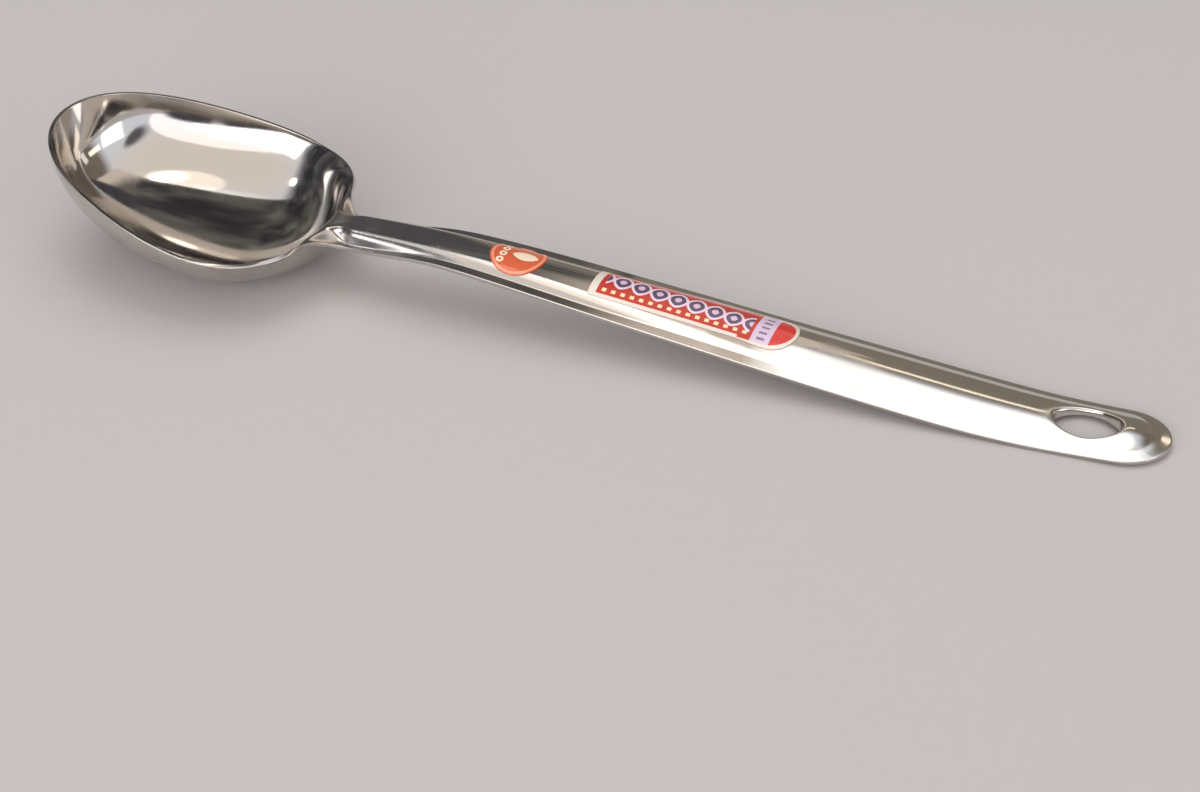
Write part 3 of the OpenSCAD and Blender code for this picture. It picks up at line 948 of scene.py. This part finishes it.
LABEL_LAYERS = [
    ("outline", "#F3D9EC"), ("core", "#574763"), ("heart", "#E3C4E0"), ("dash", "#F4DDB0"),
    ("band", "#DCC7DE"), ("band_mark", "#8B6E9A"), ("dome", "#D4201A"), ("pale", "#EBDCD0"),
]
label.data.materials.append(printed_film(
    "glossy_printed_label_film", 1.43, ("#C5301C", "#B9271A"), LABEL_MARKS, LABEL_LAYERS,
    gloss=(0.12, 0.8, 0.05)))

# %% [markdown]
# ## Camera
# The spoon was looked at from above its near side, with the bowl away to the left. A 72 mm lens
# from 64 cm gives the same taper from handle to bowl. The camera is turned a little about its
# own axis, because the photograph isn't quite level.

# %% The camera at the photograph's angle
AZIMUTH, ELEVATION, ROLL = (math.radians(a) for a in (23.121, 36.067, -1.659))
AIM, CAMERA_AWAY = Vector((16.612, -28.891, 0)), 640.6
back = Vector((
    math.sin(AZIMUTH) * math.cos(ELEVATION), -math.cos(AZIMUTH) * math.cos(ELEVATION),
    math.sin(ELEVATION)))
right = Vector((math.cos(AZIMUTH), math.sin(AZIMUTH), 0))
up = back.cross(right)
turned_right = right * math.cos(ROLL) + up * math.sin(ROLL)
turned_up = up * math.cos(ROLL) - right * math.sin(ROLL)
let_go()
bpy.ops.object.camera_add()
camera = bpy.context.object
camera.name = camera.data.name = "camera"
camera.data.sensor_width = 36
camera.data.lens = 72
camera.data.clip_start, camera.data.clip_end = 0.05, 20
turn_matrix = Matrix((turned_right, turned_up, back)).transposed()
stand = (AIM + back * CAMERA_AWAY) * MM
camera.matrix_world = Matrix.Translation(stand) @ turn_matrix.to_4x4()
bpy.context.scene.camera = camera
bpy.context.scene.view_settings.view_transform = "Standard"
print("camera at", [round(c, 3) for c in camera.location])

# %% [markdown]
# ## Floor
# The photograph's ground is plain and pale. Matt grey paper does that: it has no shine, so it
# shows only the spoon's soft shadow. It lies a hair under the spoon, so that the two never
# cut into each other, and it is so wide that the steel sees no end of it.

# %% Floor
FLOOR_SIZE, FLOOR_GAP, FIBRE_L = 40, 0.2, 3.33
let_go()
bpy.ops.mesh.primitive_plane_add(size=FLOOR_SIZE, location=(0, 0, -FLOOR_GAP * MM))
floor = named("floor")
floor_paper, tree, shader = new_material("matt_grey_paper")
spot = add(tree, "TexCoord").outputs["Object"]
fibres = add(tree, "TexNoise", {"Vector": spot, "Scale": per_metre(FIBRE_L), "Detail": 3})
greys = {"Factor": fibres.outputs["Fac"], 6: paint("#C3BFBE"), 7: paint("#C5C1C0")}
tone = add(tree, "Mix", greys, data_type="RGBA")
tree.links.new(tone.outputs[2], shader.inputs["Base Color"])
shader.inputs["Roughness"].default_value = 0.9
shader.inputs["Specular IOR Level"].default_value = 0.1
floor.data.materials.append(floor_paper)
print("floor of", FLOOR_SIZE, "m,", FLOOR_GAP, "mm under the spoon")

# %% [markdown]
# ## Room and lamps
# A mirror has no look of its own: it shows the room. So the room is part of the work. It is
# cool and pale all round, with a warm glow high on the near side and a bright patch almost
# overhead. Soft flat lamps stand where windows would be: a large one behind the camera, some
# at the sides, and small ones above. The steel draws each of them as a bright shape.

# %% The room
ROOM_LEVEL = 1.22
PATCHES = [  # direction, full within and gone beyond (degrees), colour
    ((0.2, -0.5, 0.85), 15, 55, paint("#E6DED7")),
    ((-0.12, 0.32, 0.94), 14, 27, (1.55, 1.56, 1.56, 1)),
]
room = bpy.data.worlds.new("room")
bpy.context.scene.world = room
room.use_nodes = True
tree = room.node_tree
way = add(tree, "TexCoord").outputs["Generated"]
way = add(tree, "VectorMath", {0: way}, operation="NORMALIZE").outputs["Vector"]
colour = paint("#E0E5F0")
for towards, full, gone, light in PATCHES:
    ways = {0: way, 1: Vector(towards).normalized()}
    near = add(tree, "VectorMath", ways, operation="DOT_PRODUCT").outputs["Value"]
    limits = {"From Min": math.cos(math.radians(gone)), "From Max": math.cos(math.radians(full))}
    mask = add(tree, "MapRange", {"Value": near, **limits}, **SOFT).outputs["Result"]
    inputs = {"Factor": mask, 6: colour, 7: light}
    colour = add(tree, "Mix", inputs, data_type="RGBA").outputs[2]
tree.links.new(colour, tree.nodes["Background"].inputs["Color"])
tree.nodes["Background"].inputs["Strength"].default_value = ROOM_LEVEL
print("room with", len(PATCHES), "soft patches")

# %% Soft lamps


def soft_lamp(name, place, aim, size, level, colour="#FFFFFF", form="RECTANGLE", roll=0):
    """A flat soft lamp of size metres that faces aim. A level of 1 is a white face."""
    bpy.ops.object.light_add(type="AREA", location=place)
    lamp = bpy.context.object
    lamp.name = lamp.data.name = name
    lamp.data.shape = form
    lamp.data.size, lamp.data.size_y = size
    lamp.data.energy = level * math.pi * size[0] * size[1]
    lamp.data.color = paint(colour)[:3]
    facing = (Vector(place) - Vector(aim)).to_track_quat("Z", "Y").to_matrix()
    lamp.rotation_euler = (facing @ Matrix.Rotation(math.radians(roll), 3, "Z")).to_euler()
    lamp.visible_camera = False
    print(name, "of", size, "m")


BOWL_SPOT = Vector((-0.115, 0, 0.01))

# %% Windows round the spoon
# Azimuth 0 is the near side, and 90 the handle's. Sizes and distances are in metres.
WINDOWS = [  # name, azimuth, elevation, distance, size, level, colour, form, roll
    ("near_window", -8, 18, 3, (3.0, 1.6), 1.9, "#FFFFFF", "RECTANGLE", -26),
    ("near_glow", 8, 18, 3.2, (4.4, 2.6), 0.6, "#FFF4F6", "ELLIPSE", -20),
    ("high_window", -58, 56, 3, (0.34, 0.34), 4, "#FFFFFF", "ELLIPSE"),
    ("right_window", 73, 9, 3, (1.1, 0.9), 1.8),
    ("right_strip", 97, 13, 3, (1.0, 0.4), 1.6, "#FFF4E2"),
    ("far_window", 121, 10, 3, (0.6, 0.9), 0.9),
]
for name, azimuth, elevation, distance, *looks in WINDOWS:
    a, e = math.radians(azimuth), math.radians(elevation)
    way = Vector((math.sin(a) * math.cos(e), -math.cos(a) * math.cos(e), math.sin(e)))
    soft_lamp(name, BOWL_SPOT + distance * way, BOWL_SPOT, *looks)

# %% Lamps above the spoon, and a strip behind it
ABOVE = [  # name, place on the table below it, height, size, level, colour
    ("top_box", (-0.035, -0.05), 0.5, (0.085, 0.13), 2.2, "#FFFBF0"),
    ("top_glow", (-0.075, -0.055), 0.52, (0.22, 0.2), 0.45, "#FFF3DA"),
]
for name, below, height, *looks in ABOVE:
    soft_lamp(name, (*below, height), (*below, 0), *looks, "ELLIPSE")
soft_lamp("far_strip", (-1.0, 2.2, 2.0), (0.05, 0, 0), (3.0, 0.13), 1.6, "#FFF3DC")

# %% [markdown]
# ## Dark cards
# A polished piece needs something dark near it, or it looks like plaster. Photographers hang
# black cards out of the picture. The cards here glow dimly with their own mottled colour
# instead, so they are painted dark reflections, and the camera never sees them. Three large
# round ones stand far off, where the room is darker, and fade out softly, so that the steel
# shows no hard edge of them.
# A flat card over the far side of the bowl gives it its deep tones, and three small ones do
# the same for the neck.

# %% Glowing faces for the dark cards


def glowing_card_face(name, dark, light, scale):
    """A glowing face: its mottled colour is emitted, the same under any light, and the steel
    shows it as a painted dark, cloudy reflection. scale counts the mottles in one unit of the
    card's own coordinates."""
    glow_material, tree, shader = new_material(name)
    place = add(tree, "TexCoord").outputs["Object"]
    cloud = {"Vector": place, "Scale": scale, "Detail": 3, "Roughness": 0.6}
    cloud = add(tree, "TexNoise", cloud).outputs["Fac"]
    mottle = add(tree, "MapRange", {"Value": cloud, "From Min": 0.36, "From Max": 0.7}, **SOFT)
    tints = {"Factor": mottle.outputs["Result"], 6: paint(dark), 7: paint(light)}
    colour = add(tree, "Mix", tints, data_type="RGBA").outputs[2]
    tree.links.new(colour, shader.inputs["Emission Color"])
    shader.inputs["Emission Strength"].default_value = 1
    shader.inputs["Base Color"].default_value = paint("#000000")
    shader.inputs["Roughness"].default_value = 1
    shader.inputs["Specular IOR Level"].default_value = 0
    return glow_material, tree, shader, place, colour


def hang(card, glow_material, dims_floor):
    """The steel sees the card and the camera doesn't. A card may dim the floor, as real ones do."""
    card.data.materials.append(glow_material)
    card.visible_camera = card.visible_shadow = False
    card.visible_diffuse = dims_floor
    print(card.name, "hung")


# %% Three large round cards far off
CARD_AWAY = 16.0
MOTTLES = 2.7  # in one card's distance


def oval_card(name, place, aim, reach, solid, dark, light, scale=4, dims_floor=False):
    """An oval card that faces aim: solid up to a share of its reach, then fading out."""
    let_go()
    facing = (Vector(place) - Vector(aim)).to_track_quat("Z", "Y").to_euler()
    bpy.ops.mesh.primitive_circle_add(
        vertices=48, radius=1, fill_type="NGON", location=place, rotation=facing)
    card = named(name)
    card.scale = (*reach, 1)
    glow_material, tree, shader, place, colour = glowing_card_face(name + "_cloth", dark, light, scale)
    from_middle = add(tree, "VectorMath", {0: place}, operation="LENGTH")
    inputs = {"Value": from_middle.outputs["Value"], "From Min": 1, "From Max": solid}
    alpha = add(tree, "MapRange", inputs, **SOFT).outputs["Result"]
    tree.links.new(alpha, shader.inputs["Alpha"])
    hang(card, glow_material, dims_floor)


FAR_CARDS = [  # name, direction, solid within and gone beyond (degrees), tints
    ("left_card", (-1.0, 0.0, 0.2), 42, 56, "#333338", "#6E6D72"),
    ("back_card", (0.0, 1.0, 0.05), 36, 48, "#8B8379", "#958D82"),
    ("right_card", (0.8, 0.6, 0.35), 26, 42, "#7D7469", "#8B8276"),
]
for name, towards, inner, outer, dark, light in FAR_CARDS:
    solid, reach = (math.tan(math.radians(angle)) * CARD_AWAY for angle in (inner, outer))
    oval_card(
        name, Vector(towards).normalized() * CARD_AWAY, (0, 0, 0), (reach, reach),
        solid / reach, dark, light, MOTTLES * reach / CARD_AWAY, dims_floor=True)

# %% Flat card over the bowl
let_go()
bpy.ops.mesh.primitive_plane_add(size=1, location=(-0.36, 0.23, 0.25))
card = named("bowl_card")
card.scale = (0.78, 0.44, 1)
bpy.ops.object.transform_apply(location=True, rotation=False, scale=True)
glow_material, tree, shader, place, colour = glowing_card_face(
    "bowl_card_cloth", "#323136", "#838079", per_metre(111))
# Towards the handle its glow turns pale: painted dark reflections are for the bowl and neck only.
along_spoon = add(tree, "SeparateXYZ", {"Vector": place}).outputs["X"]
limits = {"Value": along_spoon, "From Min": -80 * MM, "From Max": -20 * MM}
fade = add(tree, "MapRange", limits, **SOFT).outputs["Result"]
tints = {"Factor": fade, 6: colour, 7: paint("#EADCCF")}
pale = add(tree, "Mix", tints, data_type="RGBA")
tree.links.new(pale.outputs[2], shader.inputs["Emission Color"])
hang(card, glow_material, dims_floor=False)

# %% Small soft cards close to the neck
NECK = (-0.06, 0, 0.02)
# These glow dimly close to the neck, and the neck shows them as painted dark reflections.
NEAR_CARDS = [  # name, place, reach, how much of it is solid, tints
    ("neck_far_card", (-0.115, 0.111, 0.1), (0.055, 0.07), 0.6, "#444348", "#545358"),
    ("neck_near_card", (-0.1, -0.117, 0.028), (0.065, 0.028), 0.6, "#48474C", "#58575C"),
    ("neck_side_card", (-0.076, -0.036, 0.056), (0.028, 0.022), 0.45, "#5C5B60", "#6F6E73"),
]
for name, place, reach, solid, dark, light in NEAR_CARDS:
    oval_card(name, place, NECK, reach, solid, dark, light)
